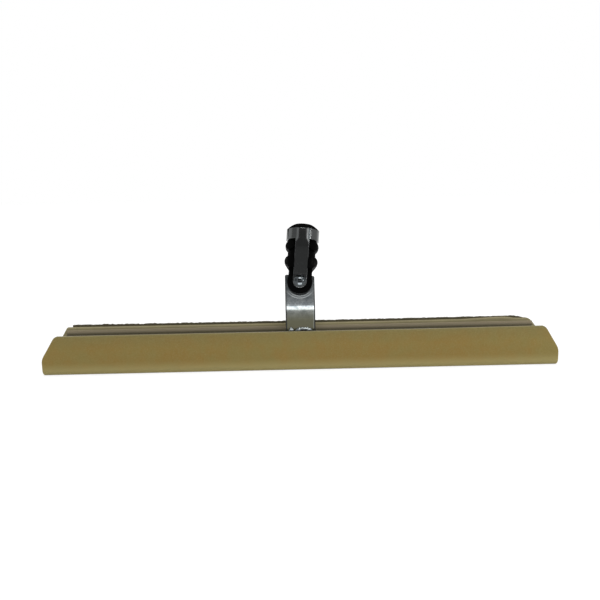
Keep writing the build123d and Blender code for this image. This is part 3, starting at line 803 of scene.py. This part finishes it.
class APPLICATOR_OT_socket(bpy.types.Operator):
    """Finishes the moulded socket and its steel ferrule"""

    bl_idname = "applicator.socket"
    bl_label = "Socket and ferrule"

    def execute(self, context):
        moulding = context.scene.applicator_moulding
        steel = context.scene.applicator_steel
        # The paler patches on the socket's lower ribs are scuffs and painted highlights.
        black = moulded_plastic("moulded black nylon", moulding.black, moulding.lighter,
                                steel.edge_round, grain=0.7, proud=13 * MM, below=PIVOT.z + 31 * MM)
        finish_nodes(black, "socket_body")
        drawn = drawn_steel("drawn ferrule steel", steel.ferrule, 3 * steel.edge_round)
        finish_nodes(drawn, "ferrule")
        return {"FINISHED"}


class APPLICATOR_OT_fasteners(bpy.types.Operator):
    """Finishes the pivot's bolt, bush, washers and lock nut"""

    bl_idname = "applicator.fasteners"
    bl_label = "Pivot fasteners"

    def execute(self, context):
        moulding = context.scene.applicator_moulding
        steel = context.scene.applicator_steel
        plated = bright_zinc("bright zinc on turned steel", steel.bright)
        finish_nodes(plated, "pivot_bolt", "pivot_bush", "front_wear_washer", "rear_wear_washer",
                     "nut_washer", "pivot_nut")
        blue = moulded_plastic("moulded blue nylon", moulding.nylon, moulding.nylon_pale,
                               steel.edge_round, grain=0.5, proud=4 * MM, below=PIVOT.z)
        finish_nodes(blue, "nut_collar_ring")
        return {"FINISHED"}


class APPLICATOR_OT_stage(bpy.types.Operator):
    """Builds the floor, the lights, the cards and the camera"""

    bl_idname = "applicator.stage"
    bl_label = "Stage"

    def execute(self, context):
        stage = context.scene.applicator_stage
        self.add_floor(stage)
        self.add_world(stage)
        self.add_key(stage)
        self.add_softbox("rear softbox", place=(0.1, 1.3, 1.0), target=(0, 0, 0.1), size=(1.4, 0.6),
                         watts=9)
        # A tall strip, which draws a streak down the right side of the ferrule.
        self.add_softbox("right strip", place=(0.49, -0.61, 0.6), target=(0, 0, 0.16),
                         size=(0.08, 0.55), watts=0.38)
        # A small lamp low on the right, which lights the edge of the bracket.
        self.add_softbox("edge lamp", place=(0.77, -0.45, 0.21), target=(0, 0, 0.1), size=(0.1, 0.1),
                         watts=0.08)
        fill = self.add_softbox("right fill", place=(1.0, -0.8, 0.5), target=(0, 0, 0.05),
                                size=(0.6, 0.6), watts=2)
        fill.visible_glossy = False
        # Grey cards keep part of the white room out of the steel, which would look flat without them.
        self.add_card("strap_flag", place=(0, -0.45, 0.17), size=(0.5, 0.16), shade="#828282")
        self.add_card("ring_flag", place=(-0.005, -0.165, 0.237), size=(0.19, 0.13), shade="#707070")
        self.add_card("dome_flag", place=(0, 0.1, 0.265), size=(0.28, 0.2), shade="#1C1C1C")
        self.add_card("bolt_flag", place=(0, -0.01, 0.45), size=(0.24, 0.22), shade="#1C1C1C",
                      level=True)
        self.add_card("left_card", place=(-0.5, -0.225, 0.4), size=(0.45, 0.4), turn=math.pi / 2,
                      shade="#B3B3B3")
        self.add_card("right_card", place=(0.62, -0.1, 0.4), size=(0.9, 0.6), turn=math.pi / 2,
                      shade="#D6D6D6")
        # A small bright card, which the bracket's bend shows as a white band.
        self.add_card("bend_card", place=(0, -0.0665, 0.0805), size=(0.06, 0.029), shade="#FFFFFF",
                      strength=7)
        # Bright cards on the right: a tall one, which widens the streak, and two that glint on the bolt.
        self.add_card("streak_card", place=(0.42, -0.352, 0.41), size=(0.06, 0.2),
                      turn=math.radians(50), shade="#CBDEE9", strength=1.5)
        self.add_card("glint_card", place=(0.43, -0.28, 0.27), size=(0.07, 0.07),
                      turn=math.radians(60), shade="#FFFFFF", strength=18)
        self.add_card("high_glint_card", place=(0.3, -0.2, 0.62), size=(0.09, 0.09), shade="#FFFFFF",
                      strength=18, level=True)
        self.add_camera(context.scene)
        context.scene.view_settings.view_transform = "Standard"
        return {"FINISHED"}

    def seen(self, add):
        """A value of 1 for what the camera sees, also in a reflection or through something clear."""
        rays = add("LightPath").outputs
        direct = add("Math", [rays["Is Camera Ray"], rays["Is Glossy Ray"]], operation="ADD")
        return add("Math", [direct, rays["Is Transmission Ray"]], operation="ADD", use_clamp=True)

    def sheet_of_card(self, name, middle, across, up, material):
        """A flat card of the stage, given its middle and half of its width and height."""
        corners = [middle + a * across + b * up for a, b in ((-1, -1), (1, -1), (1, 1), (-1, 1))]
        mesh = bpy.data.meshes.new(name)
        mesh.from_pydata(corners, [], [(0, 1, 2, 3)])
        mesh.materials.append(material)
        card = add_object(name, mesh)
        return card

    def plain_tree(self, name):
        """A material with an empty tree, and what adds a node to it."""
        material = bpy.data.materials.new(name)
        material.use_nodes = True
        material.node_tree.nodes.clear()
        return material, partial(add_node, material.node_tree)

    def add_floor(self, stage):
        """A wide white floor. It is white to the camera and in reflections, and keeps the object's
        shadow."""
        material, add = self.plain_tree("matt painted board")
        paint = add("BsdfDiffuse", {"Color": stage.white})
        veil = add("BsdfDiffuse", {"Color": linear("#959595")})
        glow = add("Emission", {"Color": linear("#FFFFFF"), "Strength": stage.glow})
        lifted = add("AddShader", [veil, glow])
        mixed = add("MixShader", [self.seen(add), paint, lifted])
        add("OutputMaterial", {"Surface": mixed})
        reach = 8.0
        self.sheet_of_card("studio_floor", Vector(), Vector((reach, 0, 0)), Vector((0, reach, 0)),
                           material)

    def add_world(self, stage):
        """A white room, which lights the object evenly."""
        world = bpy.data.worlds.new("white room")
        bpy.context.scene.world = world
        world.use_nodes = True
        add = partial(add_node, world.node_tree)
        strength = add("MapRange", [self.seen(add), 0.0, 1.0, stage.room, 1.0])
        feed(world.node_tree.nodes["Background"], {"Color": linear("#FFFFFF"), "Strength": strength})

    def add_lamp(self, name, kind, energy, place, target=(0, 0, 0)):
        """A lamp that faces a point."""
        lamp = add_object(name, bpy.data.lights.new(name, kind))
        lamp.data.energy = energy
        lamp.location = place
        lamp.rotation_euler = (Vector(target) - Vector(place)).to_track_quat("-Z", "Y").to_euler()
        return lamp

    def add_key(self, stage):
        """A broad soft key light from the front, high up and a little to the right."""
        height = math.radians(62)
        turn = math.radians(6)
        place = Vector((math.sin(turn) * math.cos(height), -math.cos(turn) * math.cos(height),
                        math.sin(height)))
        key = self.add_lamp("key", "SUN", stage.key, place)
        key.data.angle = math.radians(35)

    def add_softbox(self, name, place, target, size, watts):
        """A rectangular lamp that only its light and reflections show."""
        box = self.add_lamp(name, "AREA", watts, place, target)
        box.data.shape = "RECTANGLE"
        box.data.size, box.data.size_y = size
        box.visible_camera = False
        return box

    def add_card(self, name, place, size, shade, turn=0.0, strength=1.0, level=False):
        """An upright or level card that only reflections show."""
        material, add = self.plain_tree(f"{name} board")
        tone = add("Emission", {"Color": linear(shade), "Strength": strength})
        add("OutputMaterial", {"Surface": tone})
        across = Vector((math.cos(turn), math.sin(turn), 0)) * size[0] / 2
        up = Vector((0, 1, 0) if level else (0, 0, 1)) * size[1] / 2
        card = self.sheet_of_card(name, Vector(place), across, up, material)
        for rays in ("camera", "diffuse", "transmission", "shadow"):
            setattr(card, f"visible_{rays}", False)

    def add_camera(self, scene):
        """The photograph's viewpoint: almost straight on, a little above the object, turned slightly."""
        place = (-0.0094, -0.7702, 0.2182)
        pitch = math.radians(10.14)
        yaw = math.radians(-0.70)
        roll = math.radians(1.09)
        ahead = Vector((-math.sin(yaw), math.cos(yaw), 0))
        across = Vector((math.cos(yaw), math.sin(yaw), 0))
        look = math.cos(pitch) * ahead + Vector((0, 0, -math.sin(pitch)))
        above = math.sin(pitch) * ahead + Vector((0, 0, math.cos(pitch)))
        right = math.cos(roll) * across - math.sin(roll) * above
        upright = math.sin(roll) * across + math.cos(roll) * above
        data = bpy.data.cameras.new("photograph")
        data.sensor_width = 36.0
        data.lens = scene.applicator_stage.focal
        turn = Matrix((right, upright, -look)).transposed()
        scene.camera = add_object("photograph", data)
        scene.camera.matrix_world = Matrix.Translation(place) @ turn.to_4x4()


class APPLICATOR_PT_pieces(bpy.types.Panel):
    """Lists the applicator's pieces and their settings"""

    bl_label = "Floor finish applicator"
    bl_idname = "APPLICATOR_PT_pieces"
    bl_space_type = "VIEW_3D"
    bl_region_type = "UI"
    bl_category = "Applicator"

    def draw(self, context):
        for operator in OPERATORS:
            self.layout.operator(operator.bl_idname)
        for name, group in GROUPS.items():
            column = self.layout.box().column()
            column.label(text=group.__doc__)
            for key in group.__annotations__:
                column.prop(getattr(context.scene, name), key)


GROUPS = {
    "applicator_felt": FeltSettings,
    "applicator_trim": TrimSettings,
    "applicator_steel": SteelSettings,
    "applicator_moulding": MouldingSettings,
    "applicator_stage": StageSettings,
}
OPERATORS = (
    APPLICATOR_OT_felt_pad,
    APPLICATOR_OT_edge_strip,
    APPLICATOR_OT_soft_lining,
    APPLICATOR_OT_holder,
    APPLICATOR_OT_socket,
    APPLICATOR_OT_fasteners,
    APPLICATOR_OT_stage,
)


def register():
    for group in GROUPS.values():
        bpy.utils.register_class(group)
    for name, group in GROUPS.items():
        setattr(bpy.types.Scene, name, PointerProperty(type=group))
    for operator in OPERATORS:
        bpy.utils.register_class(operator)
    bpy.utils.register_class(APPLICATOR_PT_pieces)


def unregister():
    bpy.utils.unregister_class(APPLICATOR_PT_pieces)
    for operator in reversed(OPERATORS):
        bpy.utils.unregister_class(operator)
    for name in GROUPS:
        delattr(bpy.types.Scene, name)
    for group in reversed(GROUPS.values()):
        bpy.utils.unregister_class(group)


def main():
    register()
    bpy.ops.applicator.felt_pad()
    bpy.ops.applicator.edge_strip()
    bpy.ops.applicator.soft_lining()
    bpy.ops.applicator.holder()
    bpy.ops.applicator.socket()
    bpy.ops.applicator.fasteners()
    bpy.ops.applicator.stage()
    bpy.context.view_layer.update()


if __name__ == "__main__":
    main()
